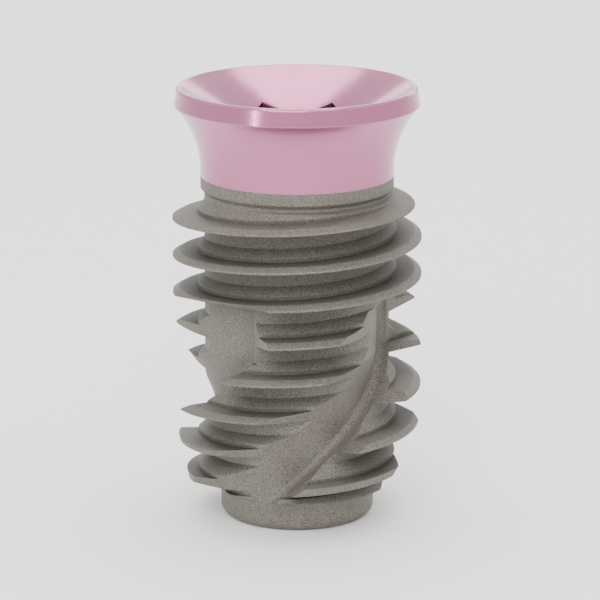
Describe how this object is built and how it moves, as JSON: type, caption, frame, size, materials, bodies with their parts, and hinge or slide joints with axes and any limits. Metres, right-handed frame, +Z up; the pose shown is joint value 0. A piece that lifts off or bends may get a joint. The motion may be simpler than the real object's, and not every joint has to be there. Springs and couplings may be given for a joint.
{
  "type": "dental implant",
  "caption": "Tissue-level dental implant: flared anodised collar with an internal hexagon, above a blasted, fluted, tapering bone thread.",
  "frame": {"origin": "centre of the flat apex face, on the implant's axis", "axes": "+Z up along the implant's axis towards the collar's rim; -Y is the front, +X is to the right of the front"},
  "size_m": [0.005, 0.005, 0.0088],
  "materials": {
    "titanium": "grit-blasted grey titanium; the collar and its funnel are smooth and anodised pink"
  },
  "bodies": {
    "root": {"implant": "titanium"}
  },
  "joints": []
}
